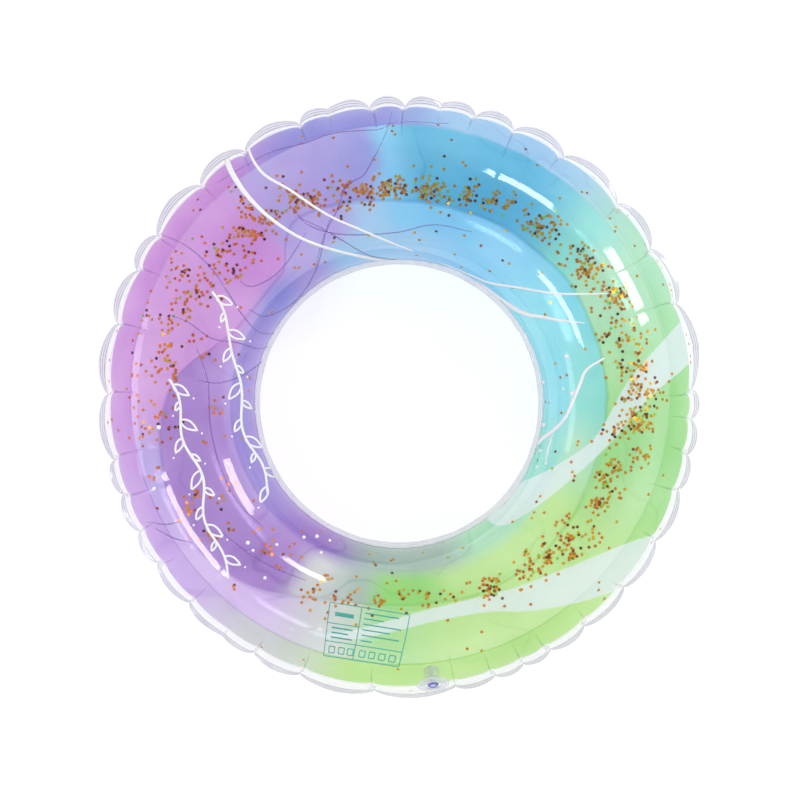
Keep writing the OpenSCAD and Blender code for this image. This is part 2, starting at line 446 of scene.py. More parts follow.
def wash_colour(tree, u, v):
    """The artwork's colour: four rings of wash, warped by noise, with darker veins and ribbons.

    Where two rings meet the pigment has gathered, so each boundary has a darker fringe.
    """
    place = add_node(tree, "TexCoord").outputs["Object"]
    drift = noise_about_zero(tree, place, 6.0, 3.0)
    curl = noise_about_zero(tree, place, 19.0, 2.0, 3.0)
    lift = noise_about_zero(tree, place, 5.0, 3.0, 8.0)
    u_soft = maths(tree, "MULTIPLY_ADD", drift, 0.045, u)
    u_soft = maths(tree, "FRACT", maths(tree, "MULTIPLY_ADD", curl, 0.010, u_soft))
    v_soft = maths(tree, "MULTIPLY_ADD", lift, 0.09, v)
    v_soft = maths(tree, "MULTIPLY_ADD", curl, 0.02, v_soft)
    rim = wash_ramp(tree, u_soft, WASH_RIM)
    crown = wash_ramp(tree, u_soft, WASH_CROWN)
    waist = wash_ramp(tree, u_soft, WASH_WAIST)
    inner = wash_ramp(tree, u_soft, WASH_INNER)
    from_rim = maths(tree, "SUBTRACT", v, edge_ramp(tree, u, RIM_EDGE))
    from_waist = maths(tree, "SUBTRACT", v_soft, edge_ramp(tree, u, WAIST_EDGE))
    colour = blended(tree, step_up(tree, from_rim, -0.006, 0.012), rim, crown)
    colour = blended(tree, step_up(tree, from_waist, -0.010, 0.012), colour, waist)
    colour = blended(tree, step_up(tree, v_soft, 0.68, 0.78), colour, inner)
    fringe = line_at(tree, from_waist, 0.012)
    rim_line = line_at(tree, from_rim, 0.007)
    vein = line_at(tree, noise_about_zero(tree, place, 6.0, 2.0, 14.0), 0.012)
    patch = step_up(tree, noise_about_zero(tree, place, 4.0, 1.0, 21.0), 0.0, 0.12)
    vein = maths(tree, "MULTIPLY", maths(tree, "MULTIPLY", vein, patch), 0.35)
    pooled = maths(tree, "MAXIMUM", vein, maths(tree, "MULTIPLY", fringe, 0.40))
    pooled = maths(tree, "MAXIMUM", pooled, maths(tree, "MULTIPLY", rim_line, 0.35))
    darker = add_node(tree, "Gamma", {"Color": colour, "Gamma": 2.4}).outputs[0]
    colour = blended(tree, pooled, colour, darker)
    mottle = maths(tree, "MULTIPLY_ADD", noise_about_zero(tree, place, 11.0, 4.0, 33.0), 0.9, 1.0)
    colour = add_node(tree, "Gamma", {"Color": colour, "Gamma": mottle}).outputs[0]
    ribbon = add_node(tree, "Attribute", attribute_name="ribbon").outputs["Fac"]
    ribbon = maths(tree, "MULTIPLY_ADD", curl, 2.5 * MM, ribbon)
    window = step_up(tree, ribbon, -0.9 * MM, 0.9 * MM)
    return blended(tree, maths(tree, "MULTIPLY", window, 0.82), colour, paint(UNPRINTED))


def ring_edge(tree, u, middle, swing, twist):
    """An edge of the print across the film: v = middle + swing cos(angle - twist)."""
    turn = maths(tree, "MULTIPLY_ADD", u, 2 * math.pi, -math.radians(twist))
    return maths(tree, "MULTIPLY_ADD", maths(tree, "COSINE", turn), swing, middle)


def film_material(name, powers, scatter, hem_cover):
    """Printed film: tinted see-through ink with some scatter, under a Fresnel gloss.

    The ink's tint is the artwork's colour to a power: powers has one for the band beside the
    outer weld, one for the middle of the film and one for the band beside the inner weld.
    scatter is the ink's solid share, and hem_cover that of the hem beside the print's start.
    """
    material, tree, out = new_material(name)
    split = add_node(tree, "SeparateXYZ", {"Vector": add_node(tree, "TexCoord").outputs["UV"]})
    u, v = split.outputs["X"], split.outputs["Y"]
    colour = wash_colour(tree, u, v)
    from_start = maths(tree, "SUBTRACT", v, ring_edge(tree, u, *PRINT_START))
    to_stop = maths(tree, "SUBTRACT", ring_edge(tree, u, *PRINT_STOP), v)
    after = step_up(tree, from_start, -0.002, 0.002)
    before = step_up(tree, to_stop, -0.003, 0.003)
    inked = maths(tree, "MULTIPLY", after, before)
    from_deep = maths(tree, "SUBTRACT", v, ring_edge(tree, u, *DEEP_START))
    past_deep = maths(tree, "SUBTRACT", v, ring_edge(tree, u, *DEEP_STOP))
    middle = step_up(tree, from_deep, -0.004, 0.004)
    inner = step_up(tree, past_deep, -0.008, 0.008)
    power = maths(tree, "MULTIPLY_ADD", middle, powers[1] - powers[0], powers[0])
    power = maths(tree, "MULTIPLY_ADD", inner, powers[2] - powers[1], power)
    ink = add_node(tree, "Gamma", {"Color": colour, "Gamma": power}).outputs[0]
    tint = blended(tree, inked, (0.965, 0.967, 0.98, 1), ink)
    unprinted = maths(tree, "SUBTRACT", 1.0, after)
    hem = maths(tree, "MULTIPLY", step_up(tree, from_start, -0.016, -0.012), unprinted)
    through = add_node(tree, "BsdfTransparent", {"Color": tint})
    body_colour = add_node(tree, "Gamma", {"Color": colour, "Gamma": 1.1}).outputs[0]
    body_colour = blended(tree, inked, (0.84, 0.84, 0.90, 1), body_colour)
    # Painted shade in the creases: where the crease share is high the ink turns darker and more solid.
    crease = add_node(tree, "Attribute", attribute_name="crease").outputs["Fac"]
    crease_shade_colour = add_node(tree, "Gamma", {"Color": body_colour, "Gamma": 2.6}).outputs[0]
    body_colour = blended(tree, crease, body_colour, crease_shade_colour)
    body = add_node(tree, "BsdfDiffuse", {"Color": body_colour})
    share = maths(tree, "MULTIPLY_ADD", inked, scatter - 0.06, 0.06)
    share = maths(tree, "MAXIMUM", share, maths(tree, "MULTIPLY", crease, 0.6))
    share = maths(tree, "MAXIMUM", share, maths(tree, "MULTIPLY", hem, hem_cover))
    ink = add_node(tree, "MixShader", {0: share, 1: through.outputs[0], 2: body.outputs[0]})
    place = add_node(tree, "TexCoord").outputs["Object"]
    haze = add_node(tree, "TexNoise", {"Vector": place, "Scale": 160.0, "Detail": 2.0})
    bump = add_node(tree, "Bump", {"Height": haze.outputs["Fac"], "Strength": 0.03, "Distance": MM})
    put_under_gloss(tree, out, ink, 0.05, 0.015, bump)
    return material


def film_inside_material():
    """The bare inside face of a film: all but clear, with a faint sheen."""
    material, tree, out = new_material("film_inside")
    place = add_node(tree, "TexCoord").outputs["Object"]
    noise = add_node(tree, "TexNoise", {"Vector": place, "Scale": 30.0})
    share = add_node(tree, "MapRange", {"Value": noise.outputs["Fac"], "To Min": 0.0, "To Max": 0.03})
    through = add_node(tree, "BsdfTransparent", {"Color": (1, 1, 1, 1)})
    gloss = add_node(tree, "BsdfGlossy", {"Roughness": 0.15})
    skin = add_node(tree, "MixShader", {0: share.outputs[0], 1: through.outputs[0], 2: gloss.outputs[0]})
    tree.links.new(skin.outputs[0], out.inputs["Surface"])
    return material


def spline(points, step):
    """A Catmull-Rom curve through the points, resampled evenly about every step."""
    p = np.asarray(points, float)
    p = np.vstack([2 * p[0] - p[1], p, 2 * p[-1] - p[-2]])
    s = np.linspace(0, 1, 24, endpoint=False)[:, None, None]
    a, b, c, d = p[:-3], p[1:-2], p[2:-1], p[3:]
    curve = 0.5 * (2 * b + (c - a) * s + (2 * a - 5 * b + 4 * c - d) * s ** 2
                   + (3 * b - a - 3 * c + d) * s ** 3)
    curve = np.vstack([curve.transpose(1, 0, 2).reshape(-1, p.shape[1]), p[-2]])
    run = np.concatenate([[0], np.cumsum(np.linalg.norm(np.diff(curve[:, :2], axis=0), axis=1))])
    even = np.linspace(0, run[-1], max(int(run[-1] / step), 4) + 1)
    return np.stack([np.interp(even, run, curve[:, k]) for k in range(p.shape[1])], axis=1)


# The unprinted ribbons in plan: x, y and half width in millimetres along each one.
RIBBONS = [
    [(-128, -268, 2), (-90, -276, 4), (-50, -275, 6), (-20, -268, 7), (45, -251, 8),
     (104, -239, 10), (150, -232, 16), (210, -215, 22), (275, -191, 24), (320, -178, 25)],
    [(345, 78, 21), (318, 50, 20), (280, 12, 16), (235, -50, 9), (190, -87, 12),
     (150, -112, 17), (118, -128, 20)],
]


def ribbon_depth(points):
    """How deep each point is inside the nearest unprinted ribbon in plan; outside is negative."""
    flat = seen_from_above(points.reshape(-1, 3))
    depth = np.full(len(flat), -0.05)
    for ribbon in RIBBONS:
        line = spline(np.array(ribbon) * MM, 6 * MM)
        gap = np.linalg.norm(flat[:, None, :] - line[None, :, :2], axis=2) - line[None, :, 2]
        depth = np.maximum(depth, -gap.min(axis=1))
    return depth


def across_spacing(rows):
    """Even steps round the tube from weld to weld, drawn together near both welds."""
    s = np.linspace(0, 1, rows)
    edge = 0.0045
    return edge + (np.pi - 2 * edge) * (0.55 * s + 0.45 * (0.5 - 0.5 * np.cos(np.pi * s)))


def round_spacing(steps):
    """Angles round the ring with a column in every crease and closer ones beside it."""
    s = np.arange(steps) / steps
    s = 0.3 * s + 0.7 * (0.5 - 0.5 * np.cos(np.pi * s))
    return np.radians((valley_deg[:, None] + lobe_deg[:, None] * s[None, :]).ravel())


def closer_steps(steps, middle, reach, gap):
    """The steps, but with even ones about gap apart from middle - reach to middle + reach."""
    close = np.linspace(middle - reach, middle + reach, int(2 * reach / gap) + 1)
    far = steps[np.abs(steps - middle) > reach + gap / 2]
    return np.sort(np.concatenate([far, close]))


VALVE_PLAN = math.hypot(VALVE_AT[0], VALVE_AT[1])
VALVE_T = math.atan2(VALVE_AT[1], VALVE_AT[0]) % (2 * math.pi)
VALVE_PHI = math.atan2(VALVE_AT[2] - TUBE_Z, VALVE_PLAN - MID_R)
COLUMN_T = closer_steps(round_spacing(20), VALVE_T, 14 * MM / VALVE_PLAN, 2.2 * MM / VALVE_PLAN)
HOLE_R = 9.8 * MM
HOLE_SNAP = 5.5 * MM
HOLE_DEPTH = 12 * MM


def matching_v(phi):
    """Where the lower film's artwork is, so that it lines up with the upper film's from above.

    Each point of the lower film takes v = phi / pi of the upper film's point that is seen at
    the same place: (R + r cos(phi)) D / (D -+ r sin(phi)) is the same for the two.
    """
    far = CAMERA_H - TUBE_Z
    grid = np.linspace(0, np.pi, 400)
    upper = (MID_R + TUBE_R * np.cos(grid)) * far / (far - TUBE_R * np.sin(grid))
    lower = (MID_R + TUBE_R * np.cos(phi)) * far / (far + TUBE_R * np.sin(phi))
    return np.interp(-lower, np.maximum.accumulate(-upper), grid) / np.pi


def map_round_and_across(piece, vs, i, j, flipped):
    """Gives each quad (i, j) a uv place: u = t / 2 pi round the ring, and v from vs across it."""
    us = np.append(COLUMN_T, COLUMN_T[0] + 2 * np.pi) / (2 * np.pi)
    u = np.stack([us[j], us[j + 1], us[j + 1], us[j]], 1)
    v = np.stack([vs[i], vs[i], vs[i + 1], vs[i + 1]], 1)
    if flipped:
        u, v = u[:, ::-1], v[:, ::-1]
    uv = piece.data.uv_layers.new(name="round_and_across")
    uv.data.foreach_set("uv", np.stack([u.ravel(), v.ravel()], 1).ravel())


def add_shares(piece, name, values):
    """Stores one value for each vertex, which the piece's material reads by that name."""
    made = piece.data.attributes.new(name, "FLOAT", "POINT")
    made.data.foreach_set("value", np.asarray(values).astype(np.float32))


def make_film(name, side, node, material):
    """A film from weld to weld: a grid of tube_point, with a clean round hole at the valve.

    Vertices within HOLE_SNAP inside the hole's edge are pushed out on to it, and the faces
    whose corners all lie in the hole are left out.
    """
    phi = side * across_spacing(46)
    if side > 0:
        phi = closer_steps(phi, VALVE_PHI, 14 * MM / TUBE_R, 2.4 * MM / TUBE_R)
    points = tube_point(COLUMN_T[None, :], phi[:, None])
    away = points - VALVE_AT
    local = np.stack([away @ VALVE_DOWN, away @ VALVE_SIDE, away @ VALVE_OUT], -1)
    flat = np.linalg.norm(local[..., :2], axis=-1)
    close = np.abs(local[..., 2]) < HOLE_DEPTH
    snap = close & (flat < HOLE_R) & (flat > HOLE_R - HOLE_SNAP)
    grow = (HOLE_R / np.maximum(flat, 1e-6) - 1)[..., None]
    push = (local[..., :1] * VALVE_DOWN + local[..., 1:2] * VALVE_SIDE) * grow
    inside = close & (flat <= HOLE_R - HOLE_SNAP)
    points = np.where(snap[..., None], points + push, points)
    rows, columns = flat.shape
    faces, i, j = grid_faces(rows, columns, False, True)
    if side < 0:
        faces = faces[:, ::-1]
    gone = (inside | snap).ravel()[faces].all(axis=1)
    faces, i, j = faces[~gone], i[~gone], j[~gone]
    used = np.unique(faces)
    number = np.full(rows * columns, -1)
    number[used] = np.arange(len(used))
    film = make_piece(name, points.reshape(-1, 3)[used], number[faces], [material, film_inside])
    vs = phi / np.pi if side > 0 else matching_v(-phi)
    map_round_and_across(film, vs, i, j, side < 0)
    near, away_from_crease = lobes(np.broadcast_to(COLUMN_T[None, :], flat.shape))[1:]
    off = np.broadcast_to(np.abs(phi)[:, None], flat.shape)
    # Painted shade along each crease: this share darkens the film's colour there.
    crease_shade = np.exp(-((away_from_crease / (1.3 * MM)) ** 2))
    crease_shade = crease_shade * np.exp(-((off / (0.75 * crease_length[near] + 0.3)) ** 4))
    crease_shade = crease_shade * valley_depth[near] * np.clip(flat / (40 * MM) - 0.6, 0, 1)
    add_shares(film, "crease", crease_shade.ravel()[used])
    add_shares(film, "ribbon", ribbon_depth(points).ravel()[used])
    wall = film.modifiers.new("wall", "SOLIDIFY")
    wall.thickness = 0.4 * MM
    wall.offset = -1
    wall.material_offset = 1
    wall.material_offset_rim = 1
    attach(film, "ring")
    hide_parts(node)
    return film


film_inside = film_inside_material()
upper_print = film_material("upper_print", (0.36, 0.25, 0.34), 0.05, 0.6)
lower_print = film_material("lower_print", (0.68, 0.51, 0.76), 0.12, 0.0)
upper_film = make_film("upper_film", 1, "top_sheet", upper_print)
lower_film = make_film("lower_film", -1, "bottom_sheet", lower_print)

# ------------------------------------------------------------------ welds
# Where the films meet they are heat-sealed into a clear double edge with fine ribs. The outer
# one is gathered by the lobes, so it scallops and waves; the inner one is a narrow tight band.


def weld_material(name, tone, line, milk, rib_cover):
    """Clear PVC seal, glossy: see-through by tone, milky by milk.

    Its ribs are where sin(6 pi v) nears 1: darker by line, and more solid by rib_cover.
    """
    material, tree, out = new_material(name)
    split = add_node(tree, "SeparateXYZ", {"Vector": add_node(tree, "TexCoord").outputs["UV"]})
    ribs = maths(tree, "SINE", maths(tree, "MULTIPLY", split.outputs["Y"], 2 * math.pi * 3))
    rib = step_up(tree, ribs, 0.86, 0.99)
    place = add_node(tree, "TexCoord").outputs["Object"]
    cloud = step_up(tree, noise_about_zero(tree, place, 45.0, 3.0), -0.12, 0.2)
    tint = blended(tree, rib, tone, line)
    through = add_node(tree, "BsdfTransparent", {"Color": tint})
    body_colour = blended(tree, rib, (0.78, 0.77, 0.85, 1), (0.20, 0.19, 0.27, 1))
    body = add_node(tree, "BsdfDiffuse", {"Color": body_colour})
    share = maths(tree, "MULTIPLY_ADD", cloud, 0.08, milk)
    share = maths(tree, "MULTIPLY_ADD", rib, rib_cover, share)
    skin = add_node(tree, "MixShader", {0: share, 1: through.outputs[0], 2: body.outputs[0]})
    put_under_gloss(tree, out, skin, 0.08, 0.04)
    return material


def make_weld(name, node, start_r, end_r, lift, rib_height, material):
    """A flat closed band round the ring: start_r and end_r are its edges' radii at COLUMN_T.

    Across it s runs 0 to 1 over the top and back below. The band is 0.8 mm thick, its ribs add
    rib_height sin(3 pi s)^2 to both faces, and lift raises its free edge as s^1.5.
    """
    s = np.concatenate([np.linspace(0, 1, 15), np.linspace(1, 0, 15)])[:, None]
    side = np.repeat([1.0, -1.0], 15)[:, None]
    r = start_r + (end_r - start_r) * s
    half = 0.4 * MM * (1 - 0.35 * (s > 0.999)) + rib_height * np.sin(3 * np.pi * s) ** 2
    z = TUBE_Z + side * half + lift * s ** 1.5
    t = COLUMN_T[None, :]
    points = np.stack([r * np.cos(t), r * np.sin(t), z + 0 * t], -1)
    faces, i, j = grid_faces(30, len(COLUMN_T), True, True)
    goes_outwards = end_r.mean() > start_r.mean()
    if goes_outwards:
        faces = faces[:, ::-1]
    weld = make_piece(name, points, faces, [material])
    map_round_and_across(weld, np.append(s[:, 0], s[0, 0]), i, j, goes_outwards)
    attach(weld, "ring")
    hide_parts(node)


outer_tones = (0.91, 0.905, 0.935, 1), (0.36, 0.35, 0.44, 1)
inner_tones = (0.95, 0.95, 0.965, 1), (0.72, 0.72, 0.78, 1)
outer_skin = weld_material("outer_weld", *outer_tones, 0.10, 0.40)
inner_skin = weld_material("inner_weld", *inner_tones, 0.18, 0.10)
wave_rng = np.random.default_rng(11)
outer_start = MID_R + TUBE_R + seam_shift(COLUMN_T) - 0.3 * MM
outer_width = 2.2 * MM + 6.5 * MM * lobes(COLUMN_T)[0] * np.interp(
    np.degrees(COLUMN_T) % 360, lobe_mid_deg, lobe_size, period=360)
knot_deg = np.sort(np.concatenate([valley_deg, lobe_mid_deg]))
knot_lift = wave_rng.uniform(-3.5, 3.5, len(knot_deg)) * MM
outer_lift = np.interp(np.degrees(COLUMN_T) % 360, knot_deg, knot_lift, period=360)
make_weld("outer_weld", "outer_weld_seam", outer_start, outer_start + outer_width, outer_lift,
          0.12 * MM, outer_skin)
inner_start = inner_seam_r(COLUMN_T) + 0.3 * MM
inner_width = 5.9 * MM + 0.25 * MM * np.sin(23 * COLUMN_T) * np.sin(4 * COLUMN_T)
inner_lift = 0.4 * MM * np.sin(17 * COLUMN_T + 3 * np.sin(2 * COLUMN_T))
make_weld("inner_weld", "inner_weld_seam", inner_start, inner_start - inner_width, inner_lift,
          0.10 * MM, inner_skin)

# ------------------------------------------------------------------ printed line work
# White brush strokes and dots, a leafy vine where the front of the wash is, and a plain framed
# panel near the valve. All are ink on the upper film, so they follow its curve.


def ink_material(name, colour, cover):
    """Opaque-ish ink that lets a little of the film's colour through, with the film's gloss."""
    material, tree, out = new_material(name)
    place = add_node(tree, "TexCoord").outputs["Object"]
    patch = noise_about_zero(tree, place, 90.0, 2.0)
    through = add_node(tree, "BsdfTransparent", {"Color": (1, 1, 1, 1)})
    body = add_node(tree, "BsdfDiffuse", {"Color": colour})
    share = maths(tree, "MULTIPLY_ADD", patch, 0.1, cover)
    skin = add_node(tree, "MixShader", {0: share, 1: through.outputs[0], 2: body.outputs[0]})
    put_under_gloss(tree, out, skin, 0.06, 0.0)
    return material


def on_film(x, y, lift):
    """Points above the upper film under places in plan, lifted along its normal."""
    t, phi = plan_to_tube(x, y)
    return tube_point(t, phi) + lift * tube_normal(t, phi)


class Ink:
    """Gathers strokes and dots into one thin mesh."""

    def __init__(self):
        self.vertices = []
        self.faces = []
        self.count = 0

    def add(self, points, faces):
        """Adds a patch of vertices and its faces, which are lists of its own vertex numbers."""
        self.vertices.append(points.reshape(-1, 3))
        self.faces += [[corner + self.count for corner in face] for face in faces]
        self.count += points.reshape(-1, 3).shape[0]

    def stroke(self, path, lift=0.14 * MM, smooth_path=True):
        """A ribbon three points wide along a plan path of x, y and half width in millimetres."""
        line = np.asarray(path, float) * MM
        line = spline(line, 2.5 * MM) if smooth_path else line
        way = np.gradient(line[:, :2], axis=0)
        way /= np.linalg.norm(way, axis=1, keepdims=True)
        side = np.stack([-way[:, 1], way[:, 0]], 1)
        rows = np.array([-1.0, 0.0, 1.0])[:, None, None]
        flat = line[None, :, :2] + rows * side[None] * line[None, :, 2:3]
        points = on_film(flat[..., 0], flat[..., 1], lift)
        self.add(points, grid_faces(3, len(line), False, False)[0].tolist())

    def dot(self, x, y, r, lift=0.14 * MM):
        """A round dot in plan: a flat middle face inside a ring of twelve."""
        turn = np.linspace(0, 2 * np.pi, 12, endpoint=False)
        rings = np.array([0.4, 1.0])[:, None, None] * r * MM
        flat = np.array([x, y]) * MM + rings * np.stack([np.cos(turn), np.sin(turn)], -1)[None]
        points = on_film(flat[..., 0], flat[..., 1], lift)
        self.add(points, grid_faces(2, 12, False, True)[0][:, ::-1].tolist() + [list(range(12))])

    def finish(self, name, material):
        """Makes the mesh, gives it a thickness and fixes it to the ring."""
        made = make_piece(name, np.vstack(self.vertices), self.faces, [material])
        wall = made.modifiers.new("ink", "SOLIDIFY")
        wall.thickness = 0.06 * MM
        wall.offset = 1
        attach(made, "ring")


# The strokes and dots in white ink: x, y and half width, or radius, in millimetres.
strokes = Ink()
strokes.stroke([(-176, 300, 1.2), (-164, 276, 1.5), (-152, 261, 1.6), (-128, 245, 1.5),
                (-103, 227, 1.4), (-78, 212, 1.4), (-46, 198, 1.3), (-13, 184, 1.2), (15, 173, 0.6)])
strokes.stroke([(-202, 285, 3.6), (-192, 262, 3.6), (-177, 238, 2.8), (-153, 213, 2.1),
                (-119, 190, 1.7), (-83, 176, 1.6), (-36, 165, 1.6), (34, 154, 1.6), (88, 137, 2.0),
                (118, 117, 2.5), (144, 101, 2.3), (168, 96, 1.8), (188, 92, 1.4), (216, 89, 0.5)])
strokes.stroke([(49, 159, 0.6), (88, 143, 1.0), (108, 136, 1.2), (138, 131, 1.3),
                (178, 124, 1.2), (212, 123, 1.0), (245, 124, 0.4)])
strokes.stroke([(239, 48, 0.9), (218, 34, 1.6), (209, 14, 2.0), (194, -20, 1.9), (181, -35, 2.0),
                (165, -47, 2.3), (153, -60, 2.6)])
strokes.stroke([(178, -42, 0.9), (173, -58, 1.1), (170, -75, 0.5)])
for x, y, r in [
    (195, 50, 2.6), (167, 20, 2.2), (201, 7, 2.4), (191, 12, 1.6), (168, -30, 2.2),
    (164, -60, 2.0), (170, -75, 1.8), (160, -79, 1.9), (-282, -34, 2.6), (-289, -102, 2.4),
    (-201, -76, 1.9), (-178, -168, 2.4), (-172, -177, 1.8), (-144, -170, 1.8), (-112, -161, 2.0),
    (-97, -160, 2.2), (-92, -179, 1.8), (-158, -209, 2.0), (-82, -165, 1.6),
]:
    strokes.dot(x, y, r)


def vine(path, leaf_gap, leaf_size, sway):
    """A swaying stem with outlined leaves on either side in turn, and a dot beyond each leaf.

    A leaf is a closed teardrop: at share s of its length its half width is W sin(pi s ** 0.8).
    """
    line = spline(np.array([(x, y, 1.6) for x, y in path]) * MM, 1.5 * MM) / MM
    way = np.gradient(line[:, :2], axis=0)
    way /= np.linalg.norm(way, axis=1, keepdims=True)
    side = np.stack([-way[:, 1], way[:, 0]], 1)
    run = np.arange(len(line)) * 1.5
    line[:, :2] += side * sway * np.sin(2 * np.pi * run / 96)[:, None]
    line[:, 2] = 1.6 - 0.5 * np.abs(run / run[-1] - 0.4)
    strokes.stroke(line[::2])
    hand = 1
    for start in np.arange(8, run[-1] - 6, leaf_gap):
        k = int(start / 1.5)
        ahead = 0.75 * way[k] + 0.66 * hand * side[k]
        ahead /= np.linalg.norm(ahead)
        across = np.array([-ahead[1], ahead[0]])
        size = leaf_size * (0.75 + 0.25 * math.cos(0.11 * start))
        s = np.linspace(0, 1, 12)
        width = 0.2 * size * np.sin(np.pi * s ** 0.8)
        out = line[k, :2] + size * s[:, None] * ahead + width[:, None] * across
        back = (line[k, :2] + size * s[:, None] * ahead - width[:, None] * across)[::-1]
        outline = np.vstack([out, back[1:]])
        strokes.stroke([(x, y, 1.2) for x, y in outline])
        tip = line[k, :2] + (size + 6) * ahead
        strokes.dot(tip[0], tip[1], 1.3)
        hand = -hand


vine([(-220, 126), (-206, 92), (-194, 58), (-188, 0), (-177, -47), (-164, -80), (-153, -111)],
     21, 24, 4)
vine([(-270, 23), (-260, -12), (-253, -35), (-235, -94), (-218, -164), (-200, -211)],
     21, 25, 5)
strokes.finish("white_line_work", ink_material("white_ink", (0.90, 0.90, 0.92, 1), 0.92))

# The veins: thin violet lines under the white ones, widest at the middle of each.
veins = Ink()
for path in [
    [(-9, 336), (-19, 310), (-33, 281), (-43, 262), (-63, 249), (-73, 222), (-90, 188), (-99, 149)],
    [(-281, 195), (-250, 180), (-223, 156), (-204, 129), (-184, 98), (-164, 78), (-137, 78)],
    [(-271, 98), (-247, 89), (-220, 71), (-190, 66), (-164, 59), (-143, 69)],
    [(-236, 22), (-213, 19), (-184, 28), (-157, 48), (-143, 69)],
    [(-197, 149), (-177, 132), (-150, 142), (-130, 163), (-110, 195)],
    [(-177, 105), (-157, 97), (-130, 109), (-110, 129), (-96, 156), (-87, 195), (-80, 215)],
    [(-130, 229), (-110, 206), (-83, 195), (-49, 192), (-2, 195), (40, 204), (84, 196)],
    [(-117, 212), (-90, 199), (-63, 183), (-36, 168), (-2, 163)],
    [(-213, 253), (-177, 276), (-146, 291), (-110, 300), (-76, 311), (-29, 315), (0, 324),
     (60, 322)],
    [(-295, -145), (-277, -147), (-260, -144)],
    [(-287, -151), (-267, -160), (-247, -165)],
    [(-207, -157), (-177, -180), (-146, -198), (-110, -212)],
    [(-238, 60), (-225, 20), (-222, -30), (-210, -80), (-190, -120), (-160, -150)],
]:
    half = 0.35 + 0.45 * np.sin(np.linspace(0.15, 3.0, len(path)))
    veins.stroke([(x, y, w) for (x, y), w in zip(path, half)], 0.10 * MM)
veins.finish("vein_lines", ink_material("violet_ink", (0.17, 0.06, 0.40, 1), 0.36))

# The panel: a frame in teal ink with plain bars and empty boxes, its corners given in plan.
panel = Ink()
PANEL = np.array([[(-90, -299.5), (1.5, -313.5)], [(-82, -237.5), (11.5, -252.5)]])


def panel_line(a0, b0, a1, b1, half_width):
    """A straight line inside the panel, from (a0, b0) to (a1, b1) as shares of its sides."""
    s = np.linspace(0, 1, max(3, int(40 * math.hypot(a1 - a0, b1 - b0))))
    a, b = a0 + (a1 - a0) * s, b0 + (b1 - b0) * s
    low = PANEL[0, 0] + a[:, None] * (PANEL[0, 1] - PANEL[0, 0])
    high = PANEL[1, 0] + a[:, None] * (PANEL[1, 1] - PANEL[1, 0])
    place = low + b[:, None] * (high - low)
    panel.stroke(np.column_stack([place, np.full(len(s), half_width)]), smooth_path=False)


for a0, b0, a1, b1 in [(0, 0, 1, 0), (1, 0, 1, 1), (1, 1, 0, 1), (0, 1, 0, 0), (0.40, 0, 0.40, 1),
                       (0, 0.62, 0.40, 0.62), (0, 0.28, 1, 0.28)]:
    panel_line(a0, b0, a1, b1, 0.55)
for row in range(6):
    reach = [0.88, 0.70, 0.93, 0.80, 0.93, 0.60][row]
    panel_line(0.45, 0.90 - 0.105 * row, reach, 0.90 - 0.105 * row, 0.75)
for row in range(3):
    panel_line(0.06, 0.54 - 0.09 * row, [0.33, 0.28, 0.34][row], 0.54 - 0.09 * row, 0.9)
panel_line(0.08, 0.80, 0.32, 0.80, 2.4)
for a in [0.06, 0.19, 0.31, 0.47, 0.60, 0.73, 0.86]:
    for side in [(0, 0, 1, 0), (1, 0, 1, 1), (1, 1, 0, 1), (0, 1, 0, 0)]:
        panel_line(a + 0.075 * side[0], 0.07 + 0.12 * side[1],
                   a + 0.075 * side[2], 0.07 + 0.12 * side[3], 0.6)
panel.finish("framed_panel", ink_material("teal_ink", (0.03, 0.42, 0.36, 1), 0.72))

# ------------------------------------------------------------------ sequins
# Thin metallised discs, loose in the air space. They slide down to the lowest part of the
# lower film and gather there in drifts; static holds a few anywhere on the film.
SEQUIN_CROWD = [(0, 100), (60, 60), (95, 90), (150, 70), (220, 15), (290, 35), (360, 100)]
DISC_R = 1.95 * MM
DISC_HALF = 0.075 * MM
DISC_SIDES = 10


def sequin_places(rng):
    """Angles and radii: each 15 degree sector's discs in small drifts along a wandering line.

    A sector holds 1.25 times SEQUIN_CROWD at its middle, and 2 more. The line swings about the
    tube's lowest circle, r = 265 + 18 cos 2t + 6 sin t, and is w = 12 + 7 cos 2t + 6 cos(t - 190)
    wide, both in millimetres. A drift is a normal scatter about a point near it. About one
    drift in three is stray and lies anywhere between the welds.
    """
    mm_per_degree = 4.6
    crowd_deg, crowd = np.array(SEQUIN_CROWD, float).T
    angles, radii = [], []
    for sector in range(24):
        left = int(1.25 * np.interp(15 * sector + 7.5, crowd_deg, crowd)) + 2
        while left > 0:
            stray = rng.random() < 0.32
            size = min(left, int(rng.integers(1, 4) if stray else rng.integers(2, 10)))
            middle_t = rng.uniform(0, 15) + 15 * sector
            turn = math.radians(middle_t)
            width = 12 + 7 * math.cos(2 * turn) + 6 * math.cos(turn - math.radians(190))
            middle_r = 265 + 18 * math.cos(2 * turn) + 6 * math.sin(turn) + rng.normal(0, width)
            middle_r = rng.uniform(174, 354) if stray else middle_r
            spread = rng.uniform(3.0, 8.0) * (2.2 if stray else 1.0)
            angles += list(middle_t + rng.normal(0, spread, size) / mm_per_degree)
            radii += list(middle_r + rng.normal(0, spread, size))
            left -= size
    radii = np.clip(np.array(radii), 171, 347)
    return np.radians(np.array(angles)), radii * MM


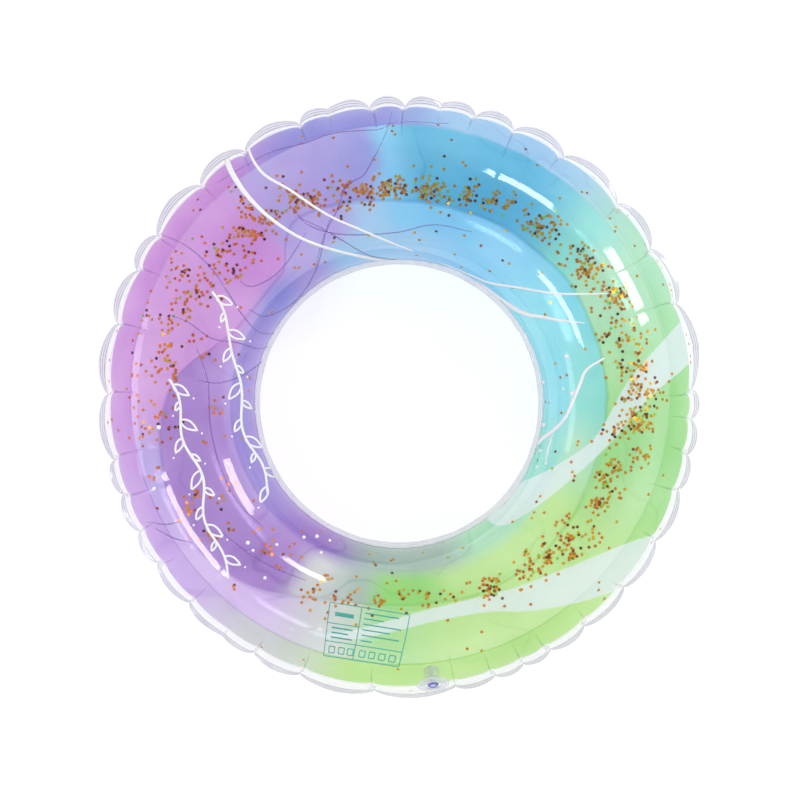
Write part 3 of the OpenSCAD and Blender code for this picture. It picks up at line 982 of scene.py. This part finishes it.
def sequin_mesh(name, t, r, upper, rng, node, material):
    """Decagonal discs 3.9 mm across and 0.15 mm thick, tilted a little on the film's inside."""
    inside, outside = inner_seam_r(t), MID_R + TUBE_R
    middle, half = (outside + inside) / 2, (outside - inside) / 2
    phi = np.arccos(np.clip((r - middle) / half, -0.985, 0.985)) * np.where(upper, 1, -1)
    normal = tube_normal(t, phi)
    tilt = rng.uniform(0.0, 0.22, len(t))
    centre = tube_point(t, phi) - normal * (0.55 * MM + DISC_R * np.sin(tilt))[:, None]
    away = np.cross(normal, rng.normal(size=(len(t), 3)))
    away /= np.linalg.norm(away, axis=1, keepdims=True)
    up = normal * np.cos(tilt)[:, None] + away * np.sin(tilt)[:, None]
    east = np.cross(up, away)
    east /= np.linalg.norm(east, axis=1, keepdims=True)
    north = np.cross(up, east)
    turn = np.linspace(0, 2 * np.pi, DISC_SIDES, endpoint=False)[None, :, None]
    rim = east[:, None, :] * np.cos(turn) + north[:, None, :] * np.sin(turn)
    rim = centre[:, None, :] + DISC_R * rim
    thick = DISC_HALF * up[:, None, :]
    vertices = np.concatenate([rim - thick, rim + thick], axis=1).reshape(-1, 3)
    first = np.arange(len(t))[:, None] * 2 * DISC_SIDES
    k = np.arange(DISC_SIDES)
    on = (k + 1) % DISC_SIDES
    low_face = (first + k[::-1]).tolist()
    high_face = (first + DISC_SIDES + k).tolist()
    side = np.stack([k, on, on + DISC_SIDES, k + DISC_SIDES], 1)
    sides = (first[:, :, None] + side[None]).reshape(-1, 4).tolist()
    made = make_piece(name, vertices, low_face + high_face + sides, [material], False)
    add_shares(made, "tone", np.repeat(rng.random(len(t)), 2 * DISC_SIDES))
    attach(made, "ring")
    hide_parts(node)


def sequin_material(name, dark, light):
    """Bright metallised plastic, each disc a tone between dark and light."""
    material, tree, out = new_material(name)
    tone = add_node(tree, "Attribute", attribute_name="tone").outputs["Fac"]
    place = add_node(tree, "TexCoord").outputs["Object"]
    grain = noise_about_zero(tree, place, 900.0, 1.0)
    tone = maths(tree, "MULTIPLY_ADD", grain, 0.3, tone)
    colour = blended(tree, tone, dark, light)
    shine = add_node(tree, "BsdfGlossy", {"Color": colour, "Roughness": 0.22})
    body = add_node(tree, "BsdfDiffuse", {"Color": colour})
    skin = add_node(tree, "MixShader", {0: 0.6, 1: shine.outputs[0], 2: body.outputs[0]})
    tree.links.new(skin.outputs[0], out.inputs["Surface"])
    return material


sequin_rng = np.random.default_rng(29)
sequin_t, sequin_r = sequin_places(sequin_rng)
sequin_up = sequin_rng.random(len(sequin_t)) < 0.12
sequin_kind = sequin_rng.choice(4, len(sequin_t), p=[0.51, 0.27, 0.17, 0.05])
for number, (name, dark, light) in enumerate([
    ("gold", (0.92, 0.25, 0.0, 1), (1.0, 0.52, 0.0, 1)),
    ("copper", (0.78, 0.14, 0.0, 1), (1.0, 0.30, 0.0, 1)),
    # The wine discs' near-black tones are painted shade, standing for discs turned away from the light.
    ("wine", (0.08, 0.010, 0.0, 1), (0.42, 0.06, 0.0, 1)),
    ("holographic", (0.75, 0.60, 0.02, 1), (0.35, 0.85, 0.15, 1)),
]):
    chosen = sequin_kind == number
    sequin_mesh("loose_sequins_" + name, sequin_t[chosen], sequin_r[chosen], sequin_up[chosen],
                sequin_rng, "sequins_" + name,
                sequin_material("sequin_" + name, dark, light))

# ------------------------------------------------------------------ air valve
# A soft clear valve welded over a hole in the upper film. A thin folded web hangs the stem
# inside the tube; a plug on a strap closes the mouth and a flap closes the inner end.


def valve_material(name, tint, body_colour, share, roughness):
    """Soft moulded PVC: see-through by tint, milky by share, near white where a painted highlight is
    marked.
    """
    material, tree, out = new_material(name)
    place = add_node(tree, "TexCoord").outputs["Object"]
    cloud = noise_about_zero(tree, place, 220.0, 2.0)
    through = add_node(tree, "BsdfTransparent", {"Color": tint})
    painted_highlight = add_node(tree, "Attribute", attribute_name="painted_highlight").outputs["Fac"]
    # Painted highlight: the colour turns near white where the mesh's highlight share is 1.
    body_colour = blended(tree, painted_highlight, body_colour, (0.93, 0.93, 0.98, 1))
    body = add_node(tree, "BsdfDiffuse", {"Color": body_colour})
    share = maths(tree, "MULTIPLY_ADD", cloud, 0.08, share)
    skin = add_node(tree, "MixShader", {0: share, 1: through.outputs[0], 2: body.outputs[0]})
    bump = add_node(tree, "Bump", {"Height": cloud, "Strength": 0.05, "Distance": MM})
    put_under_gloss(tree, out, skin, roughness, 0.04, bump)
    return material


def to_world(x, y, z):
    """Places in the valve's own frame, in millimetres, as places on the ring."""
    down, side, out = [part[..., None] * MM for part in np.broadcast_arrays(x, y, z)]
    return VALVE_AT + down * VALVE_DOWN + side * VALVE_SIDE + out * VALVE_OUT


def lathe(name, profile, steps, material, ribs=0, rib_depth=0.0, rib_span=(0, 0), follow=False):
    """A closed profile of (radius, height), in millimetres, turned round the valve's axis.

    ribs adds rib_depth cos(ribs a / 2) ** 2 to the radius between the heights in rib_span.
    follow drops each point by film_drop, the film's own fall away from the valve, so that a
    flat part lies on the film. A profile that ends at the axis is closed there by a face.
    """
    profile = np.asarray(profile, float)
    solid = profile[0, 0] < 0.1
    a = np.linspace(0, 2 * np.pi, steps, endpoint=False)[None, :]
    r, z = profile[:, :1], profile[:, 1:2]
    within = (z >= rib_span[0]) & (z <= rib_span[1])
    r = r + within * rib_depth * np.cos(ribs * a / 2) ** 2
    x, y = r * np.cos(a), r * np.sin(a)
    if follow:
        z = z + film_drop(x, y)
    points = to_world(x, y, z)
    faces = grid_faces(len(profile), steps, not solid, True)[0][:, ::-1].tolist()
    if solid:
        last = (len(profile) - 1) * steps
        faces += [list(range(steps)), list(range(last + steps - 1, last - 1, -1))]
    return make_piece(name, points, faces, [material])


def film_drop(x, y):
    """How far the film falls below the valve's tangent plane at (x, y), in millimetres.

    The film there is the torus of radii R and r, so its height h along the valve's axis is
    where the distance from the tube's centre circle is r. Each of six steps closes most of the
    gap that is left, which is nearly along the axis.
    """
    step_share = 0.97
    h = np.zeros(np.broadcast(x, y).shape)
    for _ in range(6):
        p = to_world(x, y, h)
        ring = np.linalg.norm(p[..., :2], axis=-1)
        gap = np.hypot(ring - MID_R, p[..., 2] - TUBE_Z) - TUBE_R
        h = h - gap / MM * step_share
    return h


valve_clear = valve_material(
    "valve_clear", (0.985, 0.987, 0.995, 1), (0.88, 0.89, 0.95, 1), 0.05, 0.10)

# ------------------------------------------------------------------ valve flange
# A soft PVC disc moulded with a raised ribbed collar round the mouth and two low rings. It is
# welded to the upper film round the hole, and follows the tube's curve.
valve_milky = valve_material(
    "valve_milky", (0.95, 0.955, 0.98, 1), (0.90, 0.91, 0.97, 1), 0.34, 0.10)
flange_profile = [
    (9.6, -0.35), (9.6, 1.5), (9.9, 1.9), (11.2, 1.9), (11.7, 1.6), (12.0, 1.0), (12.6, 0.8),
    (13.6, 0.8), (13.9, 1.05), (14.5, 1.05), (14.8, 0.8), (16.0, 0.8), (16.3, 1.0), (16.8, 1.0),
    (17.1, 0.8), (18.4, 0.75), (18.9, 0.5), (19.0, 0.15), (18.9, 0.02), (14.0, 0.02), (9.8, 0.02),
]
flange = lathe("valve_flange_ring", flange_profile, 96, valve_milky, 48, 0.35, (1.55, 1.95), True)
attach(flange, "ring")
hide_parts("valve_flange")

# ------------------------------------------------------------------ valve web
# A thin cup of soft PVC with fine waves in its wall, moulded in one with the flange and the
# stem's foot. The real web folds as the stem pops out; here it is one mesh, fixed where it is at rest.
web_h = np.linspace(0.6, -19.6, 30)
web_r = 9.25 + 0.22 * np.cos(2 * np.pi * web_h / 5.0)
web_outer = [(r + 0.25, h) for r, h in zip(web_r, web_h)]
web_inner = [(r - 0.25, h) for r, h in zip(web_r[::-1], web_h[::-1])]
web_floor = [(9.2, -20.2), (8.4, -20.5), (6.9, -20.5), (6.75, -20.2), (6.9, -19.95), (8.3, -19.95)]
web = lathe("valve_web_skin", web_outer + web_floor + web_inner, 64, valve_clear)
to_world(0, 0, -0.5)
to_world(0, 0, -19.5)
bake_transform(web)
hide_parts("valve_web")

# ------------------------------------------------------------------ valve stem
# The mouthpiece: a moulded tube with a lip, two grip ribs and a collar at its foot, where the
# web joins it. It sinks into the cup at rest.
valve_soft = valve_material(
    "valve_soft", (0.97, 0.97, 0.99, 1), (0.86, 0.88, 1.0, 1), 0.24, 0.10)
stem_profile = [
    (4.2, -1.4), (4.5, -1.0), (6.7, -1.0), (7.0, -1.3), (7.0, -2.7), (6.7, -3.0), (6.5, -3.3),
    (6.5, -8.0), (6.65, -8.3), (6.65, -9.0), (6.5, -9.3), (6.5, -13.0), (6.65, -13.3),
    (6.65, -14.0), (6.5, -14.3), (6.5, -18.5), (8.4, -18.7), (8.6, -18.9), (8.6, -19.5),
    (8.4, -19.7), (6.5, -19.8), (6.5, -21.6), (6.2, -22.0), (4.5, -22.0), (4.2, -21.7),
]
stem = lathe("valve_stem_tube", stem_profile, 64, valve_soft)
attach(stem, "stem")
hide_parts("valve_stem")

# ------------------------------------------------------------------ valve plug
# A blue moulded stopper with a dished head and a ribbed rim, held in the stem's bore by its
# push fit. The floor of the dish is painted near white as a painted highlight.
plug_blue = valve_material(
    "plug_blue", (0.45, 0.45, 0.85, 1), (0.26, 0.26, 0.74, 1), 0.66, 0.15)
plug_profile = [
    (0.02, -7.9), (2.6, -7.9), (3.3, -7.4), (4.0, -6.4), (4.12, -6.2), (4.12, -1.1), (4.4, -0.9),
    (5.9, -0.88), (6.25, -0.6), (6.3, -0.1), (6.1, 0.5), (5.6, 1.05), (5.0, 1.35), (4.4, 1.42),
    (3.9, 1.25), (3.4, 0.85), (2.6, 0.62), (1.4, 0.55), (0.02, 0.54),
][::-1]
plug = lathe("valve_plug_cap", plug_profile, 48, plug_blue, 24, 0.12, (-0.5, 0.2))
# The dish floor gets a painted highlight: its share is 1 there.
plug_painted_highlight = [1.0 if r < 3.3 and z > 0 else 0.0 for r, z in plug_profile]
add_shares(plug, "painted_highlight", np.repeat(plug_painted_highlight, 48))
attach(plug, "plug")
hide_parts("valve_plug")


# ------------------------------------------------------------------ valve strap
# A thin bar of soft PVC bent into a half loop, moulded to the stem's lip at one end and to the
# plug's head at the other. The real strap stretches as the plug is pulled; here it is one mesh, fixed
# where it is at rest.


def make_strap():
    """A half loop from the stem's lip to the plug's head, 4 mm wide, its edges rounded.

    Its middle line is (6.7, -0.3) + 1.65 (sin b, cos b) for b from -38 to 188 degrees; its
    section is a rounded bar of half sizes 2.0 and 0.38, as |y|^4 + |n|^4 = 1.
    """
    b = np.radians(np.linspace(-38, 188, 28))[:, None]
    c = np.linspace(0, 2 * np.pi, 20, endpoint=False)[None, :]
    across = 2.0 * np.sign(np.cos(c)) * np.abs(np.cos(c)) ** 0.5
    normal = 0.38 * np.sign(np.sin(c)) * np.abs(np.sin(c)) ** 0.5
    reach = 1.65 + normal
    points = to_world(6.7 + reach * np.sin(b), across + 0 * b, -0.3 + reach * np.cos(b))
    faces = grid_faces(28, 20, False, True)[0].tolist()
    caps = [list(range(19, -1, -1)), list(range(27 * 20, 28 * 20))]
    strap = make_piece("valve_strap_loop", points, faces + caps, [valve_clear])
    to_world(7.0, 0, -1.9)
    to_world(7.0, 0, 0.6)
    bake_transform(strap)
    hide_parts("valve_strap")


make_strap()

# ------------------------------------------------------------------ valve flap
# A thin soft disc under the stem's foot, cut straight along the edge that it hangs on. Air
# pressure shuts it over the bore.


def make_flap():
    """A disc 5.6 mm in radius cut straight at x = -5, its faces 0.6 mm apart, its rim eased.

    Each ring of the grid has x = max(r cos(a), -5) and y = r sin(a), at its own height z.
    """
    a = np.linspace(0, 2 * np.pi, 48, endpoint=False)[None, :]
    r = np.array([2.0, 5.3, 5.6, 5.6, 5.3, 2.0])[:, None]
    z = np.array([-22.1, -22.1, -22.25, -22.55, -22.7, -22.7])[:, None]
    x = np.maximum(r * np.cos(a), -5.0 + 0 * a)
    faces = grid_faces(6, 48, False, True)[0][:, ::-1].tolist()
    faces += [list(range(48)), list(range(6 * 48 - 1, 5 * 48 - 1, -1))]
    points = to_world(x, r * np.sin(a), z)
    flap = make_piece("valve_flap_disc", points, faces, [valve_clear], False)
    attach(flap, "flap")
    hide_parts("valve_check_flap")


make_flap()
